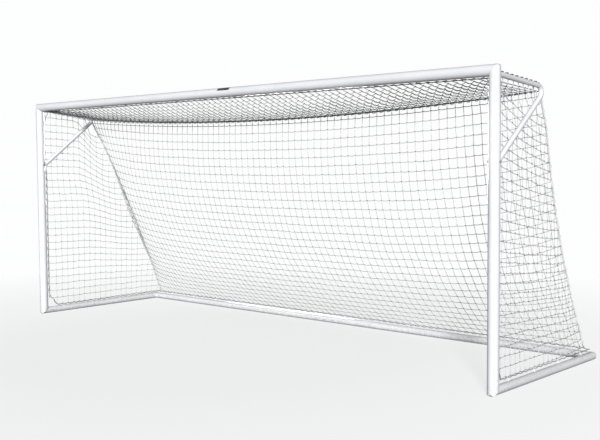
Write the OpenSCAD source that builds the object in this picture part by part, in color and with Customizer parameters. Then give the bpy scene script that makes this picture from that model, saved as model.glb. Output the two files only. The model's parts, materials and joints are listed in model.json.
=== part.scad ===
// Junior soccer goal with a round-tube frame, a ground frame, two net arms
// and a laced net. The goal line lies on the X axis, the net is on the +Y
// side and the ground is Z = 0. The origin is the middle of the goal line.

/* [Goal mouth] */
// Clear width between the posts
goal_w = 5000; // [3600:10:6200]
// Clear height under the crossbar
goal_h = 2000; // [1850:10:2400]
// Outer diameter of the posts and the crossbar
tube_d = 76; // [60:1:90]
// Wall of the posts and the crossbar
tube_wall = 3; // [2:0.5:5]

/* [Ground frame] */
// Outer diameter of the side bars and the rear bar
ground_d = 60; // [50:1:60]
// Wall of the side bars and the rear bar
ground_wall = 2.5; // [2:0.5:4]
// Distance from the goal line to the axis of the rear bar
ground_depth = 1420; // [1200:10:1900]

/* [Net arms] */
// Outer diameter of the bent net arms
arm_d = 35; // [30:1:40]
// Wall of the net arms
arm_wall = 2; // [1.5:0.5:3]
// Distance from the goal line to the point where an arm's two axes would meet
arm_depth = 671; // [560:1:760]
// How far an arm's axis leaves the corner below the crossbar's axis
arm_drop = 17; // [12:1:20]
// How much lower the arm's axis lies at its bend than at the corner
arm_fall = 53; // [30:1:70]
// How far below the crossbar's axis the brace's axis meets the post's axis
brace_drop = 596; // [450:1:650]
// Radius of the arm's centre line at its bend
bend_r = 45; // [42:1:60]

/* [Corner castings] */
// Length of a corner casting's leg along the post, from the crossbar's axis
corner_leg_post = 110; // [90:1:150]
// Length of a corner casting's leg along the crossbar, from the post's axis
corner_leg_bar = 130; // [90:1:160]
// Length of each spigot inside its tube
spigot_len = 90; // [60:5:150]
// Wall of the spigots and the sleeves
spigot_wall = 4; // [3:0.5:6]
// Radius that rounds the outer corner of the frame's mitres
corner_round = 20; // [10:1:28]
// Radius of the drain hole in a top corner
drain_r = 3.5; // [2:0.5:5]
// Length of the sleeve that joins two halves of a long tube
sleeve_len = 400; // [250:10:600]

/* [Fixings] */
// Radius of the frame screws
screw_r = 3; // [2.5:0.5:4]
// Radius of the bolt that holds a brace
bolt_r = 5; // [4:0.5:6]
// Thickness of the brace's tongue
tongue_t = 8; // [6:1:10]
// Sideways and radial clearance of pieces that slide into each other
fit_gap = 0.3; // [0.2:0.05:0.5]

/* [Net hooks] */
// Distance between neighbouring hooks on the long tubes
hook_pitch = 350; // [250:10:500]
// Height of the cord's middle above the tube
hook_height = 20; // [18:1:24]
// Radius of a hook's stem
hook_stem_r = 3; // [2.5:0.25:4]
// Radius of the hook's rod
hook_rod_r = 2.6; // [2:0.2:3]
// Radius of a hook's foot
hook_foot_r = 10; // [8:1:12]

/* [Net and cords] */
// Thickness of a net panel's solid
net_t = 4; // [4:0.5:6]
// Radius of the black lacing cord
lace_r = 3; // [2:0.5:3]
// Radius of the black rope that carries the net's rear top edge
top_rope_r = 4; // [3:0.5:5]
// Radius of the white ropes in the net's rear corners
corner_rope_r = 4; // [3:0.5:5]
// How far the rear top rope sags in its middle
rope_sag = 100; // [40:5:160]
// How far the back panel hangs in front of the straight plane behind it
back_sag = 270; // [150:10:320]
// How far the roof panel hangs below a straight line
roof_sag = 30; // [0:5:120]

/* [Hidden] */
$fn = 64;

// Directions: the left of the goal is -1 and the right is +1
LEFT = -1;
RIGHT = 1;
// Overshoot of a cut past the face that it opens
cut = 1;
// Half of the open seam between two tube ends
seam = 0.2;
// Gap that a cord or a net keeps from what carries it
touch = 0.4;
// A block larger than any mitred end
block = 400;

// Main frame
tube_r = tube_d / 2;
tube_in_r = tube_r - tube_wall;
post_x = goal_w / 2 + tube_r;
bar_z = goal_h + tube_r;
corner_bottom_z = bar_z - corner_leg_post;
corner_inner_x = post_x - corner_leg_bar;
spigot_r = tube_in_r - fit_gap;

// Ground frame
ground_r = ground_d / 2;
ground_in_r = ground_r - ground_wall;
ground_spigot_r = ground_in_r - fit_gap;

// Net arms: the arm's own direction in the YZ plane and the brace's
arm_r = arm_d / 2;
arm_in_r = arm_r - arm_wall;
arm_z0 = bar_z - arm_drop;
arm_z1 = arm_z0 - arm_fall;
brace_z = bar_z - brace_drop;
arm_slope = atan2(arm_fall, arm_depth);
brace_slope = atan2(arm_z1 - brace_z, arm_depth);
bend_turn = 180 - brace_slope - arm_slope;
bend_back = bend_r * tan(bend_turn / 2);
arm_len = norm([arm_depth, arm_fall]) - bend_back;
brace_len = norm([arm_depth, arm_z1 - brace_z]) - bend_back;
arm_stub_len = 60;
arm_stub_wall = 4;
cope_r = tube_r + fit_gap;

// Brace tongue and its bolt
tongue_z = brace_z + tube_r * tan(brace_slope) + 3;
tongue_h = 30;
tongue_front = -14;
plug_len = 45;
bolt_head_r = 8.5;
bolt_head_h = 6;
washer_r = 10;
washer_t = 2;
nut_r = 9;
nut_h = 8;

// Screws
screw_head_r = 2 * screw_r;
screw_head_h = screw_r;
screw_grip = 8;

// Hooks and the cord line that they hold
hook_in_r = lace_r + 0.8;
hook_ring_r = hook_in_r + hook_rod_r;
hook_foot_t = 3;
hook_gap = hook_ring_r + hook_rod_r + touch;
hook_open = 70;
// The side of the ring on which it opens: 180 points straight away
hook_mouth = 135;
post_line = tube_r + hook_height;
ground_line = ground_r + hook_height;
bar_hook_angle = -45;
side_hook_lean = 30;
bar_line_y = post_line * cos(bar_hook_angle);
bar_line_z = bar_z + post_line * sin(bar_hook_angle);
side_line_in = ground_line * sin(side_hook_lean);
ground_line_z = ground_r + ground_line * cos(side_hook_lean);
rear_line_y = ground_depth + ground_line * sin(side_hook_lean);
side_line_x = post_x - side_line_in;
bar_hook_count = floor((corner_inner_x - spigot_len / 2 - hook_pitch / 2) / hook_pitch) + 1;
post_hook_z = [for (z = [300 : hook_pitch : corner_bottom_z - 150]) z];
side_hook_y = [for (y = [220 : hook_pitch : ground_depth - 100]) y];

// Where both nets step past the braces: every net line beside a brace or an
// arm moves towards -X by this, inside the right arm and outside the left one
net_step = arm_r + lace_r + 4;
net_step_run = 50;
brace_clear_z = brace_z - 12;
top_step = arm_r + net_t / 2 + 2.5;

// Sideways step of a side net's front line and of its lace, by height
front_step = [[0, 0], [brace_clear_z - net_step_run, 0], [brace_clear_z, net_step], [bar_z, net_step]];
// The post hooks above the brace lean by this to reach the stepped lace
post_hook_lean = asin(net_step / post_line);

// Rear corner ropes: how far inside the post's axis they hang, and how far
// back, by height
rope_foot_z = ground_line_z + 11;
rope_foot_y = rear_line_y - 9;
rope_head_y = arm_depth - 65;
rope_head_z = arm_z1 + 4;
rope_bow_top = 1700;
rope_bow_top_in = 24;
rope_bow = [[rope_foot_z, 68], [400, 86], [800, 92], [1200, 74], [1500, 48],
    [rope_bow_top, rope_bow_top_in]];
// Above this height a rope runs straight up beside the bend
rope_step_z = bar_z - 190;

function rope_y(z) = rope_foot_y + (rope_head_y - rope_foot_y)
    * (z - rope_foot_z) / (rope_head_z - rope_foot_z);
function rope_x(side, z) = side * post_x + (z <= rope_bow_top
    ? -side * lookup(z, rope_bow)
    : lookup(z, [[rope_bow_top, -side * rope_bow_top_in], [rope_step_z, -top_step - 0.5],
        [bar_z, -top_step - 0.5]]));
function rope_point(side, z) = [rope_x(side, z), rope_y(z), z];
rope_heights = [rope_foot_z, 400, 800, 1200, 1500, rope_bow_top, rope_step_z, rope_head_z];

rope_lean = atan2(rope_foot_y - rope_head_y, rope_head_z - rope_foot_z);

// Rear top rope between the two bends
bend_mid = [arm_depth, arm_z1] - (bend_r / cos(bend_turn / 2) - bend_r)
    * [cos((brace_slope - arm_slope) / 2), sin((brace_slope - arm_slope) / 2)];
rope_end_x = post_x - arm_r - touch;
rope_front_y = bend_mid[0] - top_rope_r - touch - net_t / 2;
function top_rope_z(x) = bend_mid[1] - 4 - rope_sag * (1 - pow(x / rope_end_x, 2));
function top_rope_point(x) = [x, bend_mid[0], top_rope_z(x)];
span_steps = 16;

function mix(a, b, t) = a * (1 - t) + b * t;
function arm_z(y) = arm_z0 - arm_fall * y / arm_depth;

// Route of the long lace: up the left post, along the crossbar, down the
// right post and round the ground frame. Every bend is a chosen point.
lace_ease = 14;
lace_foot_y = 134;
lace_foot_z = 190;
lace_top_z = corner_bottom_z - 48;
lace_top_x = goal_w / 2 - 40;
function lace_post(side, z) = let (step = lookup(z, front_step))
    [side * post_x - step, post_line * cos(asin(step / post_line)), z];
post_stops = [lace_foot_z, brace_clear_z - net_step_run, brace_clear_z, lace_top_z];
frame_lace_route = concat(
    [[-side_line_x, lace_foot_y, ground_line_z + 2]],
    [for (z = post_stops) lace_post(LEFT, z)],
    [for (x = [-lace_top_x, -1200, 0, 1200, lace_top_x]) [x, bar_line_y, bar_line_z]],
    [for (i = [len(post_stops) - 1 : -1 : 0]) lace_post(RIGHT, post_stops[i])],
    [[side_line_x, lace_foot_y, ground_line_z], [side_line_x, ground_depth / 2, ground_line_z],
        [side_line_x, rear_line_y, ground_line_z]],
    [for (x = [1200, 0, -1200]) [x, rear_line_y, ground_line_z]],
    [[-side_line_x, rear_line_y, ground_line_z], [-side_line_x, ground_depth / 2, ground_line_z],
        [-side_line_x, lace_foot_y + 14, ground_line_z]]);

// ---------- shared shapes ----------

// Hollow round tube along +Z
module tube(r, inner_r, length) {
    difference() {
        cylinder(r = r, h = length);
        translate([0, 0, -cut]) cylinder(r = inner_r, h = length + 2 * cut);
    }
}

// Removes a square edge along local Z and leaves a round of radius r
module edge_round(r, height) {
    translate([0, 0, -height / 2]) linear_extrude(height) difference() {
        square([r + cut, r + cut]);
        circle(r = r);
    }
}

// A route with each sharp corner replaced by two points at the distance d
function eased(points, d) = let (n = len(points)) [for (i = [0 : n - 1]) let (
    before = i > 0 ? points[i] - points[i - 1] : [0, 0, 1],
    after = i < n - 1 ? points[i + 1] - points[i] : before,
    a = before / norm(before), b = after / norm(after),
    sharp = i > 0 && i < n - 1 && a * b < 0.98)
    each sharp ? [points[i] - d * a, points[i] + d * b] : [points[i]]];

// Swept tube through a list of points, closed at both ends
module cord(points, r, sides = 8) {
    n = len(points);
    tangents = [for (i = [0 : n - 1]) let (
        a = points[max(i - 1, 0)], b = points[min(i + 1, n - 1)]) (b - a) / norm(b - a)];
    rings = [for (i = [0 : n - 1]) let (
        t = tangents[i],
        ref = abs(t[2]) > 0.9 ? [0, 1, 0] : [0, 0, 1],
        across = cross(t, ref) / norm(cross(t, ref)),
        up = cross(across, t),
        // a ring on a corner is stretched so that the cord keeps its width
        turn = i > 0 && i < n - 1
            ? let (d = points[i] - points[i - 1]) abs(d * t) / norm(d) : 1)
        [for (k = [0 : sides - 1]) let (w = 360 * (k + 0.5) / sides)
            points[i] + r / max(turn, 0.7) * (cos(w) * across + sin(w) * up)]];
    flat = [for (ring = rings) for (p = ring) p];
    faces = concat(
        [[for (k = [0 : sides - 1]) k]],
        [[for (k = [sides - 1 : -1 : 0]) (n - 1) * sides + k]],
        [for (i = [0 : n - 2]) for (k = [0 : sides - 1]) let (
            a = i * sides + k, b = i * sides + (k + 1) % sides)
            [a, a + sides, b + sides, b]]);
    polyhedron(points = flat, faces = faces, convexity = 8);
}

// Thin closed solid on a grid of points, given as rows of equal length. It
// reaches half its thickness to each side along the direction out.
module sheet(rows, out) {
    n = len(rows);
    m = len(rows[0]);
    flat = [for (side = [1, -1]) for (row = rows) for (p = row) p + side * net_t / 2 * out];
    low = n * m;
    function at(i, j) = i * m + j;
    skin = [for (i = [0 : n - 2]) for (j = [0 : m - 2]) for (f = [
        [at(i, j), at(i, j + 1), at(i + 1, j + 1)], [at(i, j), at(i + 1, j + 1), at(i + 1, j)]]) f];
    back = [for (f = skin) [f[2] + low, f[1] + low, f[0] + low]];
    rim = concat(
        [for (j = [0 : m - 2]) [at(0, j), at(0, j) + low, at(0, j + 1) + low, at(0, j + 1)]],
        [for (j = [0 : m - 2]) [at(n - 1, j + 1), at(n - 1, j + 1) + low, at(n - 1, j) + low, at(n - 1, j)]],
        [for (i = [0 : n - 2]) [at(i + 1, 0), at(i + 1, 0) + low, at(i, 0) + low, at(i, 0)]],
        [for (i = [0 : n - 2]) [at(i, m - 1), at(i, m - 1) + low, at(i + 1, m - 1) + low, at(i + 1, m - 1)]]);
    polyhedron(points = flat, faces = concat(skin, back, rim), convexity = 8);
}

// Button-head screw whose head sits on local Z = 0 and points along +Z
module screw(grip = screw_grip) {
    cylinder(r = screw_head_r, h = screw_head_h);
    translate([0, 0, -grip]) cylinder(r = screw_r, h = grip + cut / 2);
}

// Clearance hole for a screw
module screw_hole() {
    translate([0, 0, -screw_grip - 2]) cylinder(r = screw_r + fit_gap, h = screw_grip + 8);
}

// Net hook on a tube of radius r. Local Z points away from the tube's axis,
// which is local X, and the hook's ring lies round the cord line. The ring
// opens on the side away from the tube, so that the cord can be laid in.
module net_hook(r) {
    difference() {
        translate([0, 0, r - 4]) cylinder(r = hook_foot_r, h = hook_foot_t + 4);
        rotate([0, 90, 0]) cylinder(r = r, h = 4 * hook_foot_r, center = true);
    }
    translate([0, 0, r - 6]) cylinder(r = hook_stem_r, h = hook_height - hook_in_r - 1 + 6 - hook_rod_r);
    translate([0, 0, r + hook_height]) rotate([0, 90, 0]) rotate([0, 0, hook_mouth + hook_open / 2])
        rotate_extrude(angle = 360 - hook_open) translate([hook_ring_r, 0]) circle(r = hook_rod_r);
}

module hook_hole(r) {
    translate([0, 0, r - 8]) cylinder(r = hook_stem_r + 0.1, h = 16);
}

// ---------- places ----------

// Screws that hold a spigot, on the rear of a post or of the crossbar
module at_rear_of_post(side, z) {
    translate([side * post_x, tube_r, z]) rotate([-90, 0, 0]) children();
}

module at_rear_of_bar(x) {
    translate([x, tube_r, bar_z]) rotate([-90, 0, 0]) children();
}

module at_inside_of_side_bar(side, y) {
    translate([side * (post_x - ground_r), y, ground_r]) rotate([0, -side * 90, 0]) children();
}

module at_inside_of_rear_bar(x) {
    translate([x, ground_depth - ground_r, ground_r]) rotate([90, 0, 0]) children();
}

module at_under_arm(side) {
    y = tube_r + arm_stub_len / 2 + 4;
    translate([side * post_x, y, arm_z(y)]) rotate([-arm_slope, 0, 0])
        translate([0, 0, -arm_r]) rotate([180, 0, 0]) children();
}

module at_post_hooks(side) {
    for (z = post_hook_z) translate([side * post_x, 0, z])
        rotate([0, 0, z > brace_z ? post_hook_lean : 0])
            rotate([-90, 0, 0]) rotate([0, 0, 90]) children();
}

module at_bar_hooks(side) {
    for (i = [0 : bar_hook_count - 1]) translate([side * hook_pitch * (i + 0.5), 0, bar_z])
        rotate([bar_hook_angle - 90, 0, 0]) children();
}

module at_side_bar_hooks(side) {
    for (y = side_hook_y) translate([side * post_x, y, ground_r])
        rotate([0, -side * side_hook_lean, 0]) rotate([0, 0, 90]) children();
}

module at_rear_bar_hooks(side) {
    for (i = [0 : bar_hook_count - 1]) translate([side * hook_pitch * (i + 0.5), ground_depth, ground_r])
        rotate([-side_hook_lean, 0, 0]) children();
}

post_screw_z = corner_bottom_z - spigot_len / 2;
bar_screw_x = corner_inner_x - spigot_len / 2;
foot_screw_z = ground_d + spigot_len / 2;
foot_screw_y = tube_r + spigot_len / 2;
rear_screw_y = ground_depth - ground_r - spigot_len / 2;
rear_screw_x = post_x - ground_r - spigot_len / 2;
sleeve_screw_x = [sleeve_len / 8, sleeve_len * 3 / 8];

// ---------- mitre planes ----------

// Foot: from the post's front at the ground to the side bar's top behind it
foot_tilt = atan2(ground_d, tube_d);

// Keeps the part above the foot's mitre
module above_foot_mitre(side, offset = 0) {
    difference() {
        children();
        translate([side * post_x, -tube_r, -offset]) rotate([foot_tilt, 0, 0])
            translate([-block / 2, -block / 2, -block]) cube([block, block, block]);
    }
}

// Keeps the part below the foot's mitre
module below_foot_mitre(side, offset = 0) {
    difference() {
        children();
        translate([side * post_x, -tube_r, offset]) rotate([foot_tilt, 0, 0])
            translate([-block / 2, -block / 2, 0]) cube([block, block, block]);
    }
}

// Top corner: keeps what lies on the post's side, or on the crossbar's side
module top_mitre(side, keep_post) {
    difference() {
        children();
        translate([side * post_x, 0, bar_z]) rotate([0, side * -45, 0])
            translate([-block / 2, -block / 2, keep_post ? 0 : -block]) cube([block, block, block]);
    }
}

// Rear corner: keeps the side bar's half, or the rear bar's half
module rear_mitre(side, keep_side_bar) {
    difference() {
        children();
        translate([side * post_x, ground_depth, ground_r]) rotate([0, 0, side * 45])
            translate([-block / 2, keep_side_bar ? 0 : -block, -block / 2]) cube([block, block, block]);
    }
}

// Rounds of the frame's outer corners
module foot_round(side) {
    difference() {
        children();
        translate([side * post_x, -tube_r + corner_round, corner_round])
            rotate([0, 90, 0]) rotate([0, 0, -90]) edge_round(corner_round, tube_d + 2 * cut);
    }
}

module top_round(side) {
    difference() {
        children();
        translate([side * (post_x + tube_r - corner_round), 0, bar_z + tube_r - corner_round])
            rotate([90, 0, 0]) rotate([0, 0, side > 0 ? 0 : 90]) edge_round(corner_round, tube_d + 2 * cut);
    }
}

module rear_round(side) {
    difference() {
        children();
        translate([side * (post_x + ground_r - corner_round), ground_depth + ground_r - corner_round, 0])
            translate([0, 0, ground_r]) rotate([0, 0, side > 0 ? 0 : 90])
                edge_round(corner_round, ground_d + 2 * cut);
    }
}

// ---------- main frame ----------

module post(side) {
    color("white") difference() {
        foot_round(side) above_foot_mitre(side, -seam)
            translate([side * post_x, 0, 0]) tube(tube_r, tube_in_r, corner_bottom_z - seam);
        at_rear_of_post(side, post_screw_z) screw_hole();
        at_rear_of_post(side, foot_screw_z) screw_hole();
        at_post_hooks(side) hook_hole(tube_r);
        // slot for the brace's tongue and the bolt's hole through both walls
        translate([side * post_x - tongue_t / 2 - fit_gap, 0, tongue_z - tongue_h / 2 - fit_gap])
            cube([tongue_t + 2 * fit_gap, tube_r + cut, tongue_h + 2 * fit_gap]);
        translate([side * post_x, 0, tongue_z]) rotate([0, 90, 0])
            cylinder(r = bolt_r + fit_gap, h = tube_d + 4 * cut, center = true);
    }
}

module crossbar_half(side) {
    color("white") difference() {
        translate([side * seam, 0, bar_z]) rotate([0, side * 90, 0])
            tube(tube_r, tube_in_r, corner_inner_x - 2 * seam);
        at_rear_of_bar(side * bar_screw_x) screw_hole();
        for (x = sleeve_screw_x) at_rear_of_bar(side * x) screw_hole();
        at_bar_hooks(side) hook_hole(tube_r);
    }
}

module crossbar_sleeve() {
    color("silver") difference() {
        translate([-sleeve_len / 2, 0, bar_z]) rotate([0, 90, 0])
            tube(spigot_r, spigot_r - spigot_wall, sleeve_len);
        for (side = [LEFT, RIGHT]) for (x = sleeve_screw_x) at_rear_of_bar(side * x) screw_hole();
        for (side = [LEFT, RIGHT]) at_bar_hooks(side) hook_hole(tube_r);
    }
}

// One casting: two mitred legs with a common bore, two spigots and the
// stub that carries the net arm
module top_corner(side) {
    bore_r = spigot_r - spigot_wall;
    color("white") difference() {
        union() {
            top_round(side) {
                top_mitre(side, true) translate([side * post_x, 0, corner_bottom_z])
                    cylinder(r = tube_r, h = corner_leg_post + tube_r);
            }
            top_round(side) {
                top_mitre(side, false) translate([side * corner_inner_x, 0, bar_z]) rotate([0, side * 90, 0])
                    cylinder(r = tube_r, h = corner_leg_bar + tube_r);
            }
            translate([side * post_x, 0, corner_bottom_z - spigot_len])
                cylinder(r = spigot_r, h = spigot_len + 10);
            translate([side * (corner_inner_x - spigot_len), 0, bar_z]) rotate([0, side * 90, 0])
                cylinder(r = spigot_r, h = spigot_len + 10);
            translate([side * post_x, 0, arm_z0]) rotate([-90 - arm_slope, 0, 0])
                cylinder(r = arm_in_r - fit_gap, h = tube_r + arm_stub_len);
        }
        top_mitre(side, true) translate([side * post_x, 0, corner_bottom_z - spigot_len - cut])
            cylinder(r = bore_r, h = spigot_len + corner_leg_post + tube_r);
        top_mitre(side, false) translate([side * (corner_inner_x - spigot_len - cut), 0, bar_z])
            rotate([0, side * 90, 0]) cylinder(r = bore_r, h = spigot_len + corner_leg_bar + tube_r);
        translate([side * post_x, 0, arm_z0]) rotate([-90 - arm_slope, 0, 0])
            cylinder(r = arm_in_r - fit_gap - arm_stub_wall, h = tube_r + arm_stub_len + cut);
        at_rear_of_post(side, post_screw_z) screw_hole();
        at_rear_of_bar(side * bar_screw_x) screw_hole();
        at_under_arm(side) screw_hole();
        // drain hole in the outer corner
        translate([side * (post_x + tube_r / 2), 0, bar_z + tube_r / 2]) rotate([60, 0, side * 20])
            cylinder(r = drain_r, h = 2 * tube_r);
    }
}

// ---------- ground frame ----------

module side_bar(side) {
    color("white") difference() {
        foot_round(side) rear_round(side) rear_mitre(side, true) below_foot_mitre(side, -seam)
            translate([side * post_x, -tube_r - ground_r, ground_r]) rotate([-90, 0, 0])
                tube(ground_r, ground_in_r, ground_depth + tube_r + 2 * ground_r);
        at_inside_of_side_bar(side, foot_screw_y) screw_hole();
        at_inside_of_side_bar(side, rear_screw_y) screw_hole();
        at_side_bar_hooks(side) hook_hole(ground_r);
    }
}

module rear_bar_half(side) {
    color("white") difference() {
        rear_round(side) rear_mitre(side, false)
            translate([side * seam, ground_depth, ground_r]) rotate([0, side * 90, 0])
                tube(ground_r, ground_in_r, post_x + 2 * ground_r);
        at_inside_of_rear_bar(side * rear_screw_x) screw_hole();
        for (x = sleeve_screw_x) at_inside_of_rear_bar(side * x) screw_hole();
        at_rear_bar_hooks(side) hook_hole(ground_r);
    }
}

module rear_bar_sleeve() {
    color("silver") difference() {
        translate([-sleeve_len / 2, ground_depth, ground_r]) rotate([0, 90, 0])
            tube(ground_spigot_r, ground_spigot_r - spigot_wall, sleeve_len);
        for (side = [LEFT, RIGHT]) for (x = sleeve_screw_x) at_inside_of_rear_bar(side * x) screw_hole();
        for (side = [LEFT, RIGHT]) at_rear_bar_hooks(side) hook_hole(ground_r);
    }
}

// Bent spigot inside a foot: one leg stands in the post, one lies in the bar
module foot_connector(side) {
    post_len = ground_d + spigot_len;
    bar_len = tube_r + spigot_len;
    module legs(post_leg_r, bar_leg_r, more) {
        above_foot_mitre(side) translate([side * post_x, 0, 0]) cylinder(r = post_leg_r, h = post_len + more);
        below_foot_mitre(side) translate([side * post_x, -tube_r, ground_r]) rotate([-90, 0, 0])
            cylinder(r = bar_leg_r, h = tube_r + bar_len + more);
    }
    color("silver") difference() {
        legs(spigot_r, ground_spigot_r, 0);
        legs(spigot_r - spigot_wall, ground_spigot_r - spigot_wall, cut);
        at_rear_of_post(side, foot_screw_z) screw_hole();
        at_inside_of_side_bar(side, foot_screw_y) screw_hole();
        translate([side * post_x - block / 2, -tube_r - cut, -cut])
            cube([block, corner_round / 2 + cut, corner_round / 2 + cut]);
    }
}

// Bent spigot inside a rear corner
module rear_connector(side) {
    leg = ground_r + spigot_len;
    module legs(r, more) {
        rear_mitre(side, true) translate([side * post_x, ground_depth - leg - more, ground_r])
            rotate([-90, 0, 0]) cylinder(r = r, h = leg + more + 2 * ground_r);
        rear_mitre(side, false) translate([side * (post_x - leg - more), ground_depth, ground_r])
            rotate([0, side * 90, 0]) cylinder(r = r, h = leg + more + 2 * ground_r);
    }
    color("silver") difference() {
        legs(ground_spigot_r, 0);
        legs(ground_spigot_r - spigot_wall, cut);
        at_inside_of_side_bar(side, rear_screw_y) screw_hole();
        at_inside_of_rear_bar(side * rear_screw_x) screw_hole();
        translate([side * (post_x + ground_r), ground_depth + ground_r, ground_r])
            cube([corner_round + 4, corner_round + 4, ground_d], center = true);
    }
}

// ---------- net arms ----------

// The bend's own frame: the bend turns about Z, and X points from its
// centre to its middle
module at_bend(side) {
    translate([side * post_x, arm_depth, arm_z1]) rotate([-arm_slope, 0, 0])
        translate([0, -bend_back, -bend_r]) rotate([0, -90, 0]) rotate([0, 0, bend_turn / 2])
            children();
}

// Arm, bend and brace as one run of tube. The bend is the sector of a full
// ring between the ends of the two straight runs.
module arm_run() {
    module arm_side() { rotate([0, 0, -bend_turn / 2]) children(); }
    module brace_side() { rotate([0, 0, bend_turn / 2]) children(); }
    arm_side() translate([bend_r, 0, 0]) rotate([90, 0, 0]) tube(arm_r, arm_in_r, arm_len);
    brace_side() translate([bend_r, 0, 0]) rotate([-90, 0, 0]) tube(arm_r, arm_in_r, brace_len);
    intersection() {
        arm_side() rotate_extrude() translate([bend_r, 0]) difference() {
            circle(r = arm_r);
            circle(r = arm_in_r);
        }
        arm_side() translate([-block / 2, 0, -block / 2]) cube([block, block, block]);
        brace_side() translate([-block / 2, -block, -block / 2]) cube([block, block, block]);
    }
}

module net_arm(side) {
    color("white") difference() {
        at_bend(side) arm_run();
        // both ends are coped to the post's round, and the arm's also to the
        // crossbar's
        translate([side * post_x, 0, brace_z - block]) cylinder(r = cope_r, h = brace_drop + 2 * block);
        translate([side * post_x, 0, bar_z]) rotate([0, -side * 90, 0])
            cylinder(r = cope_r, h = corner_leg_bar);
        at_under_arm(side) screw_hole();
    }
}

// Plug in the brace's end with the tongue that enters the post
module brace_tongue(side) {
    plug_start = (tube_r + 12) / cos(brace_slope);
    color("silver") difference() {
        union() {
            translate([side * post_x, 0, brace_z]) rotate([brace_slope - 90, 0, 0])
                translate([0, 0, plug_start]) cylinder(r = arm_in_r - fit_gap, h = plug_len);
            intersection() {
                translate([side * post_x - tongue_t / 2, tongue_front, tongue_z - tongue_h / 2])
                    cube([tongue_t, tube_r - tongue_front + plug_len, tongue_h]);
                union() {
                    translate([side * post_x, 0, brace_z]) rotate([brace_slope - 90, 0, 0])
                        cylinder(r = arm_in_r - fit_gap, h = plug_start + plug_len);
                    translate([side * post_x - block / 2, -block, 0])
                        cube([block, block + tube_r - 1, 2 * goal_h]);
                }
            }
        }
        translate([side * post_x, 0, tongue_z]) rotate([0, 90, 0])
            cylinder(r = bolt_r + fit_gap, h = tube_d, center = true);
    }
}

// ---------- fixings ----------

// Head on the outer side, nut on the inner side
module brace_bolts() {
    reach = tube_d + 2 * washer_t + nut_h + 2;
    color("dimgray") for (side = [LEFT, RIGHT])
        translate([side * (post_x + tube_r + washer_t), 0, tongue_z]) rotate([0, side * 90, 0]) {
            cylinder(r = bolt_head_r, h = bolt_head_h);
            translate([0, 0, -reach]) cylinder(r = bolt_r, h = reach + cut / 2);
        }
}

// Saddle washers follow the post's round
module brace_washers() {
    color("dimgray") for (side = [LEFT, RIGHT]) for (out = [-1, 1]) difference() {
        translate([side * post_x, 0, tongue_z]) rotate([0, out * 90, 0]) translate([0, 0, tube_r - 3])
            cylinder(r = washer_r, h = washer_t + 3);
        translate([side * post_x, 0, tongue_z - 2 * washer_r]) cylinder(r = tube_r, h = 4 * washer_r);
        translate([side * post_x, 0, tongue_z]) rotate([0, 90, 0])
            cylinder(r = bolt_r + fit_gap, h = 2 * tube_d, center = true);
    }
}

module brace_nuts() {
    color("dimgray") for (side = [LEFT, RIGHT])
        translate([side * (post_x - tube_r - washer_t), 0, tongue_z]) rotate([0, -side * 90, 0])
            difference() {
                cylinder(r = nut_r, h = nut_h, $fn = 6);
                translate([0, 0, -cut]) cylinder(r = bolt_r, h = nut_h + 2 * cut);
            }
}

module arm_screws() {
    color("dimgray") for (side = [LEFT, RIGHT]) at_under_arm(side) screw(arm_wall + arm_stub_wall);
}

module corner_screws() {
    color("dimgray") for (side = [LEFT, RIGHT]) {
        at_rear_of_post(side, post_screw_z) screw();
        at_rear_of_bar(side * bar_screw_x) screw();
    }
}

module foot_screws() {
    color("dimgray") for (side = [LEFT, RIGHT]) {
        at_rear_of_post(side, foot_screw_z) screw();
        at_inside_of_side_bar(side, foot_screw_y) screw();
    }
}

module rear_corner_screws() {
    color("dimgray") for (side = [LEFT, RIGHT]) {
        at_inside_of_side_bar(side, rear_screw_y) screw();
        at_inside_of_rear_bar(side * rear_screw_x) screw();
    }
}

module sleeve_screws() {
    color("dimgray") for (side = [LEFT, RIGHT]) for (x = sleeve_screw_x) {
        at_rear_of_bar(side * x) screw();
        at_inside_of_rear_bar(side * x) screw();
    }
}

// ---------- hooks ----------

module crossbar_hooks() {
    color("whitesmoke") for (side = [LEFT, RIGHT]) at_bar_hooks(side) net_hook(tube_r);
}

module post_hooks(side) {
    color("whitesmoke") at_post_hooks(side) net_hook(tube_r);
}

module side_bar_hooks(side) {
    color("whitesmoke") at_side_bar_hooks(side) net_hook(ground_r);
}

module rear_bar_hooks() {
    color("whitesmoke") for (side = [LEFT, RIGHT]) at_rear_bar_hooks(side) net_hook(ground_r);
}

// ---------- net panels ----------

net_low_z = ground_line_z + hook_gap;

// Back panel: v runs from the rear bar up to the rear top rope. Its rows pass
// through every height where the corner ropes turn.
back_base_z = net_low_z + 8;
back_head_z = top_rope_z(rope_end_x) - top_rope_r - touch;
back_heights = [back_base_z, 240, 400, 600, 800, 1000, 1200, 1350, 1500, 1600, rope_bow_top,
    rope_bow_top + 70, rope_step_z, back_head_z];
back_edge_gap = corner_rope_r + touch;
back_low = [rear_line_y - 2, net_low_z + 0.5];
back_top_y = bend_mid[0] + 2;
back_top_in = 12;
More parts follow.
